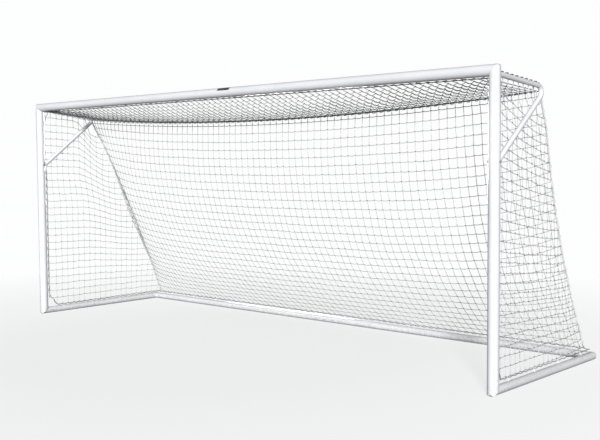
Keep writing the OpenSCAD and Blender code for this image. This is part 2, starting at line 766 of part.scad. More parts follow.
// Direction in which the panel hangs away from its plane, and how fast it
// comes back to the corner ropes
back_hang = [0, -0.9, -0.435];
back_power = 6;
function back_edge(side, v) = let (z = mix(back_base_z, back_head_z, v))
    v == 1
        ? [side * (rope_end_x - back_top_in), back_top_y, z]
        : [rope_x(side, z) - side * back_edge_gap, rope_y(z), z];
function back_point(u, v) = let (
    a = back_edge(LEFT, v), b = back_edge(RIGHT, v),
    x = mix(a[0], b[0], u),
    bell = 1 - pow(abs(2 * u - 1), back_power),
    edge = mix(a, b, u),
    low = [x, back_low[0], back_low[1]],
    top = [x, back_top_y, top_rope_z(x) - top_rope_r - touch],
    line = mix(low, top, v),
    // the net hangs like a chain between its two long edges
    hung = line + back_sag * 4 * v * (1 - v) * back_hang,
    inner = [x, mix(edge[1], hung[1], bell), mix(edge[2], hung[2], bell)])
    v == 0 ? low : v == 1 ? top : inner;

module back_net() {
    color("gainsboro") sheet([for (z = back_heights) [for (j = [0 : span_steps])
        back_point(j / span_steps, (z - back_base_z) / (back_head_z - back_base_z))]], [0, 0.92, 0.39]);
}

// Roof panel: v runs from the crossbar's lace back to the rear top rope
roof_rows = 6;
roof_front_x = goal_w / 2 - 44;
function roof_point(u, v) = let (
    x = mix(-1, 1, u) * mix(roof_front_x, rope_end_x - back_top_in, v),
    front = [x, bar_line_y + hook_gap, bar_line_z],
    rear = [x, bend_mid[0] - top_rope_r - touch, top_rope_z(x)],
    bell = 1 - pow(2 * u - 1, 4))
    mix(front, rear, v) - [0, 0, roof_sag * bell * 4 * v * (1 - v)];

module roof_net() {
    color("gainsboro") sheet([for (i = [0 : roof_rows]) [for (j = [0 : span_steps])
        roof_point(j / span_steps, i / roof_rows)]], [0, 0, -1]);
}

// Side panels: s runs from the post to the corner rope, z from the ground up
side_cols = 10;
net_top_rise = 1;
front_top = arm_z(post_line) + net_top_rise;
side_heights = [net_low_z, 200, 400, 800, 1200, brace_clear_z - net_step_run, brace_clear_z,
    1550, 1650, 1750, rope_step_z, corner_bottom_z + 10, front_top];
foot_corner = [102, 137];
function side_front(side, z) = [side * post_x - lookup(z, front_step), post_line + hook_gap, z];
function side_point(side, s, z) = let (
    t = (z - net_low_z) / (front_top - net_low_z),
    z_rear = mix(net_low_z + 8, rope_head_z - 2, t),
    rope_side = rope_point(side, z_rear) - [0, (corner_rope_r + touch) / cos(rope_lean), 0],
    z_here = z == net_low_z ? net_low_z : mix(z, z_rear, s),
    a = side_front(side, z),
    // the upper rear corner stops short of the rear top rope
    b = [rope_side[0], z_rear > rope_step_z ? min(rope_side[1], rope_front_y) : rope_side[1], z_rear],
    upper = lookup(z, [[0, 0], [brace_clear_z - 350, 0], [brace_clear_z - 60, 1], [bar_z, 1]]),
    middle = side * post_x - upper * (top_step + 1) - side * (1 - upper) * side_line_in * (1 - t),
    x = s == 0 ? a[0] : mix(middle, b[0], pow(s, 5)),
    y = mix(a[1], b[1], s))
    z == net_low_z
        ? (s == 0 ? [side * (side_line_x + 10), foot_corner[0], foot_corner[1]]
            : [mix(side * side_line_x, b[0], pow(s, 5)), y, net_low_z])
        : z == front_top ? [side * post_x - arm_r - net_t / 2 - touch, y, arm_z(y) + net_top_rise]
        : [x, y, z_here];

module side_net(side) {
    color("gainsboro") sheet([for (z = side_heights) [for (j = [0 : side_cols])
        side_point(side, j / side_cols, z)]], [-1, 0, 0]);
}

// ---------- ropes and laces ----------

module rear_top_rope() {
    color("black") cord([for (i = [0 : 2 * span_steps]) top_rope_point(rope_end_x * (i / span_steps - 1))],
        top_rope_r);
}

module corner_rope(side) {
    color("gainsboro") cord([for (z = rope_heights) rope_point(side, z)], corner_rope_r);
}

module arm_lace(side) {
    rise = net_top_rise + lace_r + touch;
    x = side * post_x - sqrt(pow(arm_r + lace_r + touch, 2) - pow(rise, 2));
    color("black") cord([for (y = [post_line + 8, arm_depth / 2, rope_head_y - 20])
        [x, y, arm_z(y) + rise]], lace_r);
}

module frame_lace() {
    color("black") cord(eased(frame_lace_route, lace_ease), lace_r);
}

post(LEFT);  // left_post
post(RIGHT);  // right_post
crossbar_half(LEFT);  // crossbar_left
crossbar_half(RIGHT);  // crossbar_right
crossbar_sleeve();
top_corner(LEFT);  // left_top_corner
top_corner(RIGHT);  // right_top_corner
side_bar(LEFT);  // left_side_bar
side_bar(RIGHT);  // right_side_bar
rear_bar_half(LEFT);  // rear_bar_left
rear_bar_half(RIGHT);  // rear_bar_right
rear_bar_sleeve();
foot_connector(LEFT);  // left_foot_connector
foot_connector(RIGHT);  // right_foot_connector
rear_connector(LEFT);  // left_rear_connector
rear_connector(RIGHT);  // right_rear_connector
net_arm(LEFT);  // left_net_arm
net_arm(RIGHT);  // right_net_arm
brace_tongue(LEFT);  // left_brace_tongue
brace_tongue(RIGHT);  // right_brace_tongue
brace_bolts();
brace_washers();
brace_nuts();
arm_screws();
corner_screws();
foot_screws();
rear_corner_screws();
sleeve_screws();
crossbar_hooks();
post_hooks(LEFT);  // left_post_hooks
post_hooks(RIGHT);  // right_post_hooks
side_bar_hooks(LEFT);  // left_side_bar_hooks
side_bar_hooks(RIGHT);  // right_side_bar_hooks
rear_bar_hooks();
back_net();
roof_net();
side_net(LEFT);  // left_net
side_net(RIGHT);  // right_net
rear_top_rope();
corner_rope(LEFT);  // left_corner_rope
corner_rope(RIGHT);  // right_corner_rope
arm_lace(LEFT);  // left_arm_lace
arm_lace(RIGHT);  // right_arm_lace
frame_lace();
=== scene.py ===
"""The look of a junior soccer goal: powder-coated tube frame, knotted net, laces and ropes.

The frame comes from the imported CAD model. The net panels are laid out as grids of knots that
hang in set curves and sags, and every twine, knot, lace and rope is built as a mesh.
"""

import json
import math

import bpy
import numpy as np
from mathutils import Matrix, Vector


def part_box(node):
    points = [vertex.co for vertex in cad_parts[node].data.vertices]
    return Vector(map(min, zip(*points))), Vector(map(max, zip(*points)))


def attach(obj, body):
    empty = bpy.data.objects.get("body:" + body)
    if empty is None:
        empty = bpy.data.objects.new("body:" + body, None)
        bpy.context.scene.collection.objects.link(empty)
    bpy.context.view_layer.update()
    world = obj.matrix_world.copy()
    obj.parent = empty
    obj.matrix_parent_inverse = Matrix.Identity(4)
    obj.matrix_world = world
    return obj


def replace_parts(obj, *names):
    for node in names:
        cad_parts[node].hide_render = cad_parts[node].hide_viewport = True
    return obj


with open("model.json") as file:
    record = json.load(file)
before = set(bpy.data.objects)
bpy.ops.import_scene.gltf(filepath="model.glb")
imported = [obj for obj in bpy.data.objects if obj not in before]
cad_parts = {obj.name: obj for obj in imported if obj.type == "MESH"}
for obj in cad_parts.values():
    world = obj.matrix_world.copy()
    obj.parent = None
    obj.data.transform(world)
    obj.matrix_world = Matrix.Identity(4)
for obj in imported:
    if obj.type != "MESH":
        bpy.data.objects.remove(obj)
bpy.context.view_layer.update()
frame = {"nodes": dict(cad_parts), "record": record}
nodes = frame["nodes"]


def box_centre(node):
    low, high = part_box(node)
    return (low + high) / 2


def box_size(node):
    low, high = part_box(node)
    return high - low


# ---------- sizes taken from the frame, in metres ----------

POST_X = box_centre("right_post").x
BAR_Z = box_centre("crossbar_left").z
TUBE_R = box_size("right_post").x / 2
GROUND_Z = box_centre("rear_bar_left").z
REAR_Y = box_centre("rear_bar_left").y
GROUND_R = box_size("rear_bar_left").z / 2
ARM_R = box_size("left_net_arm").x / 2
ROPE_LOW, ROPE_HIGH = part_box("rear_top_rope")
ROPE_R = box_size("rear_top_rope").y / 2
ROPE_Y = box_centre("rear_top_rope").y
ROPE_END_X = ROPE_HIGH.x
ROPE_END_Z = ROPE_HIGH.z - ROPE_R
ROPE_SAG = ROPE_HIGH.z - ROPE_LOW.z - 2 * ROPE_R
CORNER_LOW, CORNER_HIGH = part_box("right_corner_rope")

# The lines on which hooks hold the net, beside the tubes
HOOK_HEIGHT = 0.020
EDGE_GAP = 0.009
POST_LINE_Y = TUBE_R + HOOK_HEIGHT
BAR_LINE_Y = POST_LINE_Y * math.cos(math.pi / 4)
BAR_LINE_Z = BAR_Z - BAR_LINE_Y
LEAN = math.radians(30)
GROUND_LINE = GROUND_R + HOOK_HEIGHT
SIDE_LINE_X = POST_X - GROUND_LINE * math.sin(LEAN)
GROUND_LINE_Z = GROUND_Z + GROUND_LINE * math.cos(LEAN)
REAR_LINE_Y = REAR_Y + GROUND_LINE * math.sin(LEAN)

# ---------- net ----------

TWINE_R = 0.0024
KNOT_R = 0.0050
LACE_R = 0.003
BACK_COLUMNS = 75
BACK_ROWS = 28
BORDER_DROP = 0.034  # the back panel's upper border hangs this far below its rope
BACK_SAG = 0.27  # how far the back panel hangs in front of the straight plane
BACK_HANG = np.array([0, -0.9, -0.435])
EDGE_POWER = 6  # how fast the panel comes back to the corner ropes
ROOF_ROWS = 9
ROOF_SAG = 0.030
SIDE_ROWS = 28
SIDE_MESH = 0.0655
SIDE_DIP_START = 0.42  # from here back the rows of a side panel dip to its corner rope
SIDE_TOP_ON_ROPE = 1.765
SIDE_BELLY = 0.030
BACK_WANDER, ROOF_WANDER, SIDE_WANDER = 0.0022, 0.0026, 0.0018
BACK_SLACK, SIDE_SLACK, BORDER_SLACK = 0.004, 0.0035, 0.002  # sag of the twine between two knots
ROOF_SLACK_FRONT, ROOF_SLACK_REAR = 0.012, 0.026
LOOP_R, LOOP_TWINE_R = 0.0062, 0.0042
LOOPS_FROM = 0.86  # the rear rope shows loops of net from here outwards

# ---------- camera ----------

CAMERA_PLACE = (5.4986, -5.0706, 1.4636)
CAMERA_HEADING = 42.15
CAMERA_TILT = 3.43
CAMERA_ROLL = -0.38
CAMERA_LENS = 55.46


def make_camera():
    data = bpy.data.cameras.new("camera")
    data.lens = CAMERA_LENS
    data.sensor_width = 36
    data.clip_end = 500
    camera = bpy.data.objects.new("camera", data)
    bpy.context.scene.collection.objects.link(camera)
    turn = (
        Matrix.Rotation(math.radians(CAMERA_HEADING), 4, "Z")
        @ Matrix.Rotation(math.radians(90 - CAMERA_TILT), 4, "X")
        @ Matrix.Rotation(math.radians(CAMERA_ROLL), 4, "Z")
    )
    camera.matrix_world = Matrix.Translation(CAMERA_PLACE) @ turn
    bpy.context.scene.camera = camera


make_camera()

# ---------- materials ----------


class Shader:
    """A material with one Principled shader, and short ways to add nodes to it."""

    def __init__(self, name, **values):
        self.material = bpy.data.materials.new(name)
        self.material.use_nodes = True
        self.tree = self.material.node_tree
        self.shader = self.tree.nodes["Principled BSDF"]
        for socket, value in values.items():
            self.shader.inputs[socket.replace("_", " ")].default_value = value

    def node(self, kind, **settings):
        made = self.tree.nodes.new(kind)
        for key, value in settings.items():
            if key in made.inputs:
                made.inputs[key].default_value = value
            else:
                setattr(made, key, value)
        return made

    def link(self, a, b):
        self.tree.links.new(a, b)

    def place(self):
        """The point on the surface, in the object's own space."""
        return self.node("ShaderNodeTexCoord").outputs["Object"]

    def noise(self, scale, detail=3.0, stretch=(1, 1, 1)):
        mapping = self.node("ShaderNodeMapping")
        mapping.inputs["Scale"].default_value = stretch
        self.link(self.place(), mapping.inputs["Vector"])
        noise = self.node("ShaderNodeTexNoise")
        noise.inputs["Scale"].default_value = scale
        noise.inputs["Detail"].default_value = detail
        self.link(mapping.outputs["Vector"], noise.inputs["Vector"])
        return noise.outputs["Fac"]

    def ramp(self, fac, *stops):
        ramp = self.node("ShaderNodeValToRGB")
        while len(ramp.color_ramp.elements) < len(stops):
            ramp.color_ramp.elements.new(0.5)
        for element, (place, value) in zip(ramp.color_ramp.elements, stops):
            element.position = place
            colour = value if hasattr(value, "__len__") else (value,) * 3
            element.color = (*colour, 1)
        self.link(fac, ramp.inputs["Fac"])
        return ramp.outputs["Color"]

    def mix(self, fac, a, b, blend="MIX"):
        mix = self.node("ShaderNodeMix", data_type="RGBA", blend_type=blend)
        if hasattr(fac, "default_value"):
            self.link(fac, mix.inputs["Factor"])
        else:
            mix.inputs["Factor"].default_value = fac
        for socket, value in (("A", a), ("B", b)):
            target = next(s for s in mix.inputs if s.name == socket and s.type == "RGBA")
            if hasattr(value, "default_value"):
                self.link(value, target)
            else:
                target.default_value = (*value, 1)
        return next(s for s in mix.outputs if s.type == "RGBA")

    def bump(self, height, strength, distance, normal=None):
        bump = self.node("ShaderNodeBump")
        bump.inputs["Strength"].default_value = strength
        bump.inputs["Distance"].default_value = distance
        self.link(height, bump.inputs["Height"])
        if normal is not None:
            self.link(normal, bump.inputs["Normal"])
        return bump.outputs["Normal"]

    def finish(self, colour=None, roughness=None, normal=None):
        if colour is not None:
            self.link(colour, self.shader.inputs["Base Color"])
        if roughness is not None:
            self.link(roughness, self.shader.inputs["Roughness"])
        if normal is not None:
            self.link(normal, self.shader.inputs["Normal"])
        return self.material


def powder_coat():
    """White powder coat: faint orange peel, cloudy tone, and dust that settles near the ground."""
    s = Shader("white_powder_coat", Coat_Weight=0.6, Coat_Roughness=0.14)
    cloud = s.ramp(s.noise(2.2, 4), (0.30, (0.72, 0.735, 0.76)), (0.70, (0.80, 0.81, 0.825)))
    scuffs = s.ramp(s.noise(38, 6, (1, 1, 0.25)), (0.66, 0.0), (0.74, 1.0))
    marked = s.mix(scuffs, cloud, (0.60, 0.61, 0.63))
    height = s.node("ShaderNodeSeparateXYZ")
    s.link(s.place(), height.inputs["Vector"])
    low = s.ramp(height.outputs["Z"], (0.0, 1.0), (0.09, 0.0))
    speckle = s.ramp(s.noise(60, 5), (0.42, 0.0), (0.62, 0.55))
    dust = s.mix(1.0, low, speckle, "MULTIPLY")
    colour = s.mix(dust, marked, (0.47, 0.44, 0.40))
    rough = s.ramp(s.noise(14, 5), (0.3, 0.30), (0.75, 0.44))
    peel = s.bump(s.noise(520, 2), 0.10, 0.0006)
    return s.finish(colour, rough, peel)


def metal(name, tone, rough, brush, metallic=1.0):
    """Bare or plated metal with fine turning marks."""
    s = Shader(name, Metallic=metallic)
    colour = s.ramp(s.noise(55, 5), (0.3, tuple(0.82 * c for c in tone)), (0.7, tone))
    roughness = s.ramp(s.noise(120, 4, brush), (0.3, rough), (0.7, rough + 0.16))
    return s.finish(colour, roughness, s.bump(s.noise(700, 3, brush), 0.2, 0.0003))


def hook_plastic():
    s = Shader("hook_plastic", Subsurface_Weight=0.05)
    colour = s.ramp(s.noise(45, 4), (0.3, (0.70, 0.70, 0.68)), (0.7, (0.80, 0.80, 0.78)))
    rough = s.ramp(s.noise(90, 3), (0.3, 0.42), (0.7, 0.58))
    return s.finish(colour, rough, s.bump(s.noise(600, 3), 0.15, 0.0004))


def fibre(name, light, dark, strand=430, sheen=0.25, blotch=9):
    """Braided or twisted yarn: strands as fine ridges, and tone that varies along it."""
    s = Shader(name, Sheen_Weight=sheen, Sheen_Roughness=0.5)
    blotches = s.ramp(s.noise(blotch, 5), (0.30, dark), (0.72, light))
    strands = s.noise(strand, 2)
    shade = s.ramp(strands, (0.35, 0.72), (0.62, 1.0))
    colour = s.mix(1.0, blotches, shade, "MULTIPLY")
    rough = s.ramp(s.noise(150, 3), (0.3, 0.72), (0.7, 0.92))
    return s.finish(colour, rough, s.bump(strands, 0.6, 0.0008))


MATERIALS = {
    "white_frame": powder_coat(),
    "bare_metal": metal("bare_metal", (0.62, 0.63, 0.65), 0.28, (1, 1, 6)),
    "fixing_steel": metal("fixing_steel", (0.66, 0.67, 0.69), 0.36, (1, 1, 1), 0.6),
    "hook_plastic": hook_plastic(),
    "black_cord": fibre("black_cord", (0.030, 0.030, 0.032), (0.012, 0.012, 0.013)),
    "white_rope": fibre("white_rope", (0.82, 0.82, 0.83), (0.62, 0.62, 0.63), 260),
}
# The rows are the same white twine as the columns, given a darker grey: painted shade from the
# light above.
ROW_TWINE_PAINTED_SHADE = fibre("row_twine_painted_shade", (0.54, 0.54, 0.545), (0.38, 0.38, 0.385))
COLUMN_TWINE = fibre("column_twine", (0.82, 0.82, 0.83), (0.62, 0.62, 0.63))
# The knots, and the ties at the posts, are the same white twine given a near-black tone: painted
# shade.
KNOT_TWINE_PAINTED_SHADE = fibre("knot_twine_painted_shade", (0.15, 0.15, 0.155), (0.07, 0.07, 0.075))


def label_film():
    s = Shader("label_film", Coat_Weight=0.5, Coat_Roughness=0.1)
    colour = s.ramp(s.noise(70, 4), (0.3, (0.035, 0.036, 0.04)), (0.7, (0.06, 0.062, 0.068)))
    rough = s.ramp(s.noise(160, 3), (0.3, 0.28), (0.7, 0.42))
    return s.finish(colour, rough, s.bump(s.noise(300, 2), 0.08, 0.0004))


# ---------- mesh helpers ----------


def add_mesh(name, points, faces, material, smooth=True):
    mesh = bpy.data.meshes.new(name)
    mesh.from_pydata(points, [], faces)
    mesh.validate()
    mesh.materials.append(material)
    if smooth:
        mesh.polygons.foreach_set("use_smooth", [True] * len(mesh.polygons))
    made = bpy.data.objects.new(name, mesh)
    bpy.context.scene.collection.objects.link(made)
    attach(made, "root")
    return made


def unit(v):
    return v / np.maximum(np.linalg.norm(v, axis=-1, keepdims=True), 1e-12)


def tube(line, radius, sides, aside):
    """Closed tube along a line of points. aside is a direction that the line never follows."""
    line = np.asarray(line, float)
    tangent = np.gradient(line, axis=0)
    tangent = unit(tangent)
    across = unit(np.cross(tangent, aside))
    up = np.cross(across, tangent)
    radii = np.broadcast_to(np.asarray(radius, float), (len(line),))[:, None, None]
    turn = 2 * np.pi * np.arange(sides) / sides
    ring = (
        np.cos(turn)[None, :, None] * across[:, None, :]
        + np.sin(turn)[None, :, None] * up[:, None, :]
    )
    points = (line[:, None, :] + radii * ring).reshape(-1, 3)
    count = len(line)
    a = (np.arange(count - 1)[:, None] * sides + np.arange(sides)[None, :]).ravel()
    b = (np.arange(count - 1)[:, None] * sides + (np.arange(sides)[None, :] + 1) % sides).ravel()
    quads = np.stack([a, a + sides, b + sides, b], 1).tolist()
    caps = [list(range(sides)), list(range(count * sides - 1, (count - 1) * sides - 1, -1))]
    return points, quads + caps


class Parts:
    """Collects several meshes into one."""

    def __init__(self):
        self.points, self.faces, self.count = [], [], 0

    def add(self, points, faces):
        self.points.append(np.asarray(points, float))
        self.faces += [[i + self.count for i in face] for face in faces]
        self.count += len(points)

    def build(self, name, material, slot=None):
        return add_mesh(name, np.concatenate(self.points).tolist(), self.faces, material)


def knots(places, radius, rng):
    """Small turned blobs at the given places, slightly uneven in size."""
    t = (1 + 5**0.5) / 2
    corners = unit(
        np.array(
            [(-1, t, 0), (1, t, 0), (-1, -t, 0), (1, -t, 0), (0, -1, t), (0, 1, t)]
            + [(0, -1, -t), (0, 1, -t), (t, 0, -1), (t, 0, 1), (-t, 0, -1), (-t, 0, 1)],
            float,
        )
    )
    faces = [(0, 11, 5), (0, 5, 1), (0, 1, 7), (0, 7, 10), (0, 10, 11), (1, 5, 9), (5, 11, 4)]
    faces += [(11, 10, 2), (10, 7, 6), (7, 1, 8), (3, 9, 4), (3, 4, 2), (3, 2, 6), (3, 6, 8)]
    faces += [(3, 8, 9), (4, 9, 5), (2, 4, 11), (6, 2, 10), (8, 6, 7), (9, 8, 1)]
    places = np.asarray(places, float)
    size = radius * rng.uniform(0.82, 1.12, (len(places), 1, 3))
    points = (places[:, None, :] + size * corners[None]).reshape(-1, 3)
    tris = np.asarray(faces)[None] + 12 * np.arange(len(places))[:, None, None]
    return points, tris.reshape(-1, 3).tolist()


# ---------- net drape ----------


def lerp(a, b, t):
    return np.asarray(a, float) * (1 - t) + np.asarray(b, float) * t


def ease(t):
    """Rises smoothly from 0 to 1 while t does."""
    t = np.clip(t, 0, 1)
    return t * t * (3 - 2 * t)


def rope_z(x):
    return ROPE_END_Z - ROPE_SAG * (1 - (x / ROPE_END_X) ** 2)


# Route of a rear corner rope: how far inside the post's axis it hangs, by height
BOW_HEIGHTS = [CORNER_LOW.z, 0.40, 0.80, 1.20, 1.50, 1.70, BAR_Z - 0.19, CORNER_HIGH.z]
BOW_DEPTHS = [0.068, 0.086, 0.092, 0.074, 0.048, 0.024]
STEP_OUT = -0.0225


def corner_rope_point(side, z):
    """side is -1 on the left and 1 on the right."""
    turn = -side * np.array(BOW_DEPTHS)
    x = side * POST_X + np.interp(z, BOW_HEIGHTS, [*turn, STEP_OUT, STEP_OUT])
    y = np.interp(z, [CORNER_LOW.z, CORNER_HIGH.z], [CORNER_HIGH.y - 0.004, CORNER_LOW.y + 0.004])
    return np.array([x, y, z])


PANEL_EDGE_X = ROPE_END_X - 0.014


def gathered(v):
    """Place along the rear rope for v from -1 to 1. The meshes crowd together near the ends."""
    return PANEL_EDGE_X * (1.06 * v - 0.06 * v**9)


def unevenness(shape, size, rng):
    """A small wander of each knot: a slow part shared by neighbours, and a little of its own."""
    rows, columns = shape
    r, c = np.meshgrid(np.arange(rows), np.arange(columns), indexing="ij")
    field = np.zeros((rows, columns, 3))
    for _ in range(5):
        turn = rng.uniform(0, 2 * np.pi, 3)
        pace_r, pace_c = rng.uniform(0.15, 0.9, 2)
        field += np.sin(pace_r * r[..., None] + pace_c * c[..., None] + turn)
    field = size * (0.35 * field + rng.normal(0, 0.45, field.shape))
    rim = np.minimum(np.minimum(r, rows - 1 - r), np.minimum(c, columns - 1 - c))
    return field * np.clip(rim / 2, 0, 1)[..., None]


def back_knots(rng):
    """Knots of the back panel, rows from its upper border down to the rear bar."""
    fine = np.linspace(0, 1, 120)[:, None]
    grid = np.zeros((BACK_ROWS + 1, BACK_COLUMNS + 1, 3))
    edge_z = np.linspace(ROPE_END_Z - 0.011, GROUND_LINE_Z + EDGE_GAP, BACK_ROWS + 1)
    for c, v in enumerate(np.linspace(-1, 1, BACK_COLUMNS + 1)):
        x = gathered(v)
        top = np.array([x, ROPE_Y + 0.002, rope_z(x) - BORDER_DROP])
        low = np.array([x, REAR_LINE_Y - 0.002, GROUND_LINE_Z + EDGE_GAP])
        curve = lerp(top, low, fine) + BACK_SAG * 4 * fine * (1 - fine) * BACK_HANG
        length = np.concatenate([[0], np.cumsum(np.linalg.norm(np.diff(curve, axis=0), axis=1))])
        at = np.linspace(0, length[-1], BACK_ROWS + 1)
        hung = np.stack([np.interp(at, length, curve[:, i]) for i in range(3)], 1)
        side = -1 if v < 0 else 1
        edge = np.array([corner_rope_point(side, z) for z in edge_z])
        near = abs(v) ** EDGE_POWER
        line = hung.copy()
        line[:, 0] = x + (edge[:, 0] - side * (PANEL_EDGE_X + 0.004)) * near
        line[:, 1:] = lerp(hung[:, 1:], edge[:, 1:], near)
        line[0] = top
        line[-1, 1:] = low[1:]
        grid[:, c] = line
    return grid + unevenness(grid.shape[:2], BACK_WANDER, rng)


def roof_knots(rng):
    """Knots of the roof panel, rows from the crossbar back to the rear rope."""
    grid = np.zeros((ROOF_ROWS + 1, BACK_COLUMNS + 1, 3))
    front_x = SIDE_LINE_X - 0.057
    for c, v in enumerate(np.linspace(-1, 1, BACK_COLUMNS + 1)):
        rear_x = gathered(v)
        for r in range(ROOF_ROWS + 1):
            t = (r / ROOF_ROWS) ** 1.12
            x = lerp(v * front_x, rear_x, t)
            front = np.array([x, BAR_LINE_Y + EDGE_GAP, BAR_LINE_Z])
            rear = np.array([x, ROPE_Y + 0.001, rope_z(x) + ROPE_R + TWINE_R])
            grid[r, c] = lerp(front, rear, t)
            grid[r, c, 2] -= ROOF_SAG * 4 * t * (1 - t) * (1 - v**4)
    return grid + unevenness(grid.shape[:2], ROOF_WANDER, rng)


def side_front(side, z):
    """The side net's front line. It steps past the brace, always to the left."""
    return side * POST_X - np.interp(z, [BRACE_CLEAR_Z - 0.05, BRACE_CLEAR_Z], [0, NET_STEP])


def side_knots(side, rng):
    """Rows of knots of a side panel from the ground up, and its columns from the post back."""
    front_y = POST_LINE_Y + EDGE_GAP
    low_z = GROUND_LINE_Z + EDGE_GAP
    rows, columns = [], {}
    for r in range(SIDE_ROWS + 1):
        t = r / SIDE_ROWS
        z_front = lerp(low_z, ARM_TOP_Z, t)
        rear = corner_rope_point(side, float(lerp(low_z + 0.008, SIDE_TOP_ON_ROPE, t)))
        rear[1] -= 0.006
        row = []
        c = 0
        while True:
            y = front_y + c * SIDE_MESH
            if y > rear[1] - 0.35 * SIDE_MESH:
                break
            dip = 1 - (1 - (y - front_y) / (rear[1] - front_y)) ** 1.35
            if side < 0:
                dip = ease((y - SIDE_DIP_START) / (rear[1] - 0.05 - SIDE_DIP_START))
            z = z_front - ARM_SLOPE * (y - front_y) * t**3
            z = lerp(z, rear[2], dip)
            upper = np.interp(z, [BRACE_CLEAR_Z - 0.35, BRACE_CLEAR_Z - 0.06], [0, 1])
            lean = side * (1 - upper) * (1 - t) * (POST_X - SIDE_LINE_X)
            x = side * POST_X - upper * (NET_STEP - 0.001) - lean
            belly = np.sin(np.pi * (y - front_y) / (rear[1] - front_y)) * 4 * t * (1 - t)
            x -= side * SIDE_BELLY * (1 - upper) * belly
            if c == 0:
                x = side_front(side, z)
            x = lerp(x, rear[0], ((y - front_y) / (rear[1] - front_y)) ** 5)
            if r == SIDE_ROWS and y < ARM_END_Y:
                x, z = side * POST_X - ARM_R - 0.0025, ARM_TOP_Z - ARM_SLOPE * (y - front_y)
            if r == 0 and c == 0:
                x, y, z = side * (SIDE_LINE_X + 0.010), y + 0.034, z + 0.052
            free = 0 if c == 0 or r in (0, SIDE_ROWS) else 1
            place = np.array([x, y, z], float) + free * rng.normal(0, SIDE_WANDER, 3)
            row.append(place)
            columns.setdefault(c, []).append(place)
            c += 1
        row.append(rear)
        rows.append(np.array(row))
        # a column that the slanting edge cuts off ends on the rope
        for k, line in columns.items():
            if k >= c and len(line) == r:
                line.append(rear)
    return rows, [np.array(line) for line in columns.values() if len(line) > 1]


def scalloped(knots_line, sag, samples):
    """The twine through a line of knots, which hangs by sag between each two of them."""
    p = np.asarray(knots_line, float)
    span = np.linalg.norm(np.diff(p, axis=0), axis=1)
    flat = np.linalg.norm(np.diff(p, axis=0)[:, :2], axis=1) / np.maximum(span, 1e-9)
    t = np.arange(samples) / samples
    line = p[:-1, None, :] * (1 - t)[None, :, None] + p[1:, None, :] * t[None, :, None]
    line[:, :, 2] -= (sag * flat)[:, None] * (4 * t * (1 - t))[None, :]
    return np.concatenate([line.reshape(-1, 3), p[-1:]])


def build_panel(cad_node, rows, columns, sags, rng, aside_row=(0, 0, 1), on_rope=0):
    """rows and columns are lists of knot lines, with one sag for each row.

    The last on_rope rows lie on a rope and have no knots.
    """
    across, down, tied = Parts(), Parts(), Parts()
    for i, (line, sag) in enumerate(zip(rows, sags)):
        radius = TWINE_R * (1.15 if i in (0, len(rows) - 1) else 1.0)
        across.add(*tube(scalloped(line, sag, 5), radius, 5, aside_row))
    for i, line in enumerate(columns):
        radius = TWINE_R * (1.3 if i in (0, len(columns) - 1) else 1.0)
        down.add(*tube(scalloped(line, 0.0015, 3), radius, 5, (1, 0, 0)))
    tied.add(*knots(np.concatenate(rows[: len(rows) - on_rope]), KNOT_R, rng))
    # rows and knots take darker tones of painted shade; the columns keep the twine's own white
    pieces = [
        across.build(cad_node + "_rows", ROW_TWINE_PAINTED_SHADE, "net_twine"),
        down.build(cad_node + "_columns", COLUMN_TWINE, "net_twine"),
        tied.build(cad_node + "_knots", KNOT_TWINE_PAINTED_SHADE, "net_twine"),
    ]
    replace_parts(pieces[0], cad_node)


# Where the arms and the braces run, taken from their boxes
ARM_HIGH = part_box("left_net_arm")[1]
ARM_TOP_Z = ARM_HIGH.z - ARM_R
ARM_SLOPE = 0.079
ARM_END_Y = ROPE_Y - 0.010
BRACE_CLEAR_Z = BAR_Z - 0.608
NET_STEP = ARM_R + 0.007

rng = np.random.default_rng(7)


def build_nets():
    grid = back_knots(rng)
    columns = list(grid.transpose(1, 0, 2))
    # the columns go on from the border up to the rope that carries them
    ties = [np.array([line[0][0], ROPE_Y, rope_z(line[0][0]) - 0.002]) for line in columns]
    columns = [np.vstack([tie, line]) for tie, line in zip(ties, columns)]
    loops = Parts()
    turn = np.linspace(0, 2 * np.pi, 9)
    for x, y, z in ties:
        if abs(x) > LOOPS_FROM * PANEL_EDGE_X:
            ring = [np.full(9, x), y + LOOP_R * np.sin(turn), z + 0.002 + LOOP_R * np.cos(turn)]
            loops.add(*tube(np.stack(ring, 1), LOOP_TWINE_R, 5, (1, 0, 0)))
    loops.build("rear_rope_loops", COLUMN_TWINE, "net_twine")
    build_panel("back_net", list(grid), columns, [BACK_SLACK] * len(grid), rng)
    grid = roof_knots(rng)
    sags = np.linspace(ROOF_SLACK_FRONT, ROOF_SLACK_REAR, len(grid))
    sags[0] = sags[-1] = BORDER_SLACK
    build_panel("roof_net", list(grid), list(grid.transpose(1, 0, 2)), sags, rng, on_rope=1)
    for name, side in (("left", -1), ("right", 1)):
        rows, columns = side_knots(side, rng)
        build_panel(name + "_net", rows, columns, [SIDE_SLACK] * len(rows), rng, (1, 0, 0))
        ties = Parts()
        for row in rows[1:-1]:
            x, y, z = row[0]
            hitch = [(x, y, z), (x, y - 0.006, z + 0.012), (x, POST_LINE_Y - 0.002, z + 0.026)]
            ties.add(*strand_tube(np.array(hitch), TWINE_R * 1.1))
        # the ties take the knots' near-black tone, painted shade on white twine
        ties.build(name + "_post_ties", KNOT_TWINE_PAINTED_SHADE, "net_twine")


# ---------- ropes and laces ----------


def smooth_route(points, spacing):
    """Points at an even spacing along straight runs with softened corners."""
    points = np.asarray(points, float)
    length = np.concatenate([[0], np.cumsum(np.linalg.norm(np.diff(points, axis=0), axis=1))])
    count = max(2, int(length[-1] / spacing))
    at = np.linspace(0, length[-1], count + 1)
    line = np.stack([np.interp(at, length, points[:, i]) for i in range(3)], 1)
    for _ in range(3):
        line[1:-1] = 0.25 * line[:-2] + 0.5 * line[1:-1] + 0.25 * line[2:]
    return line


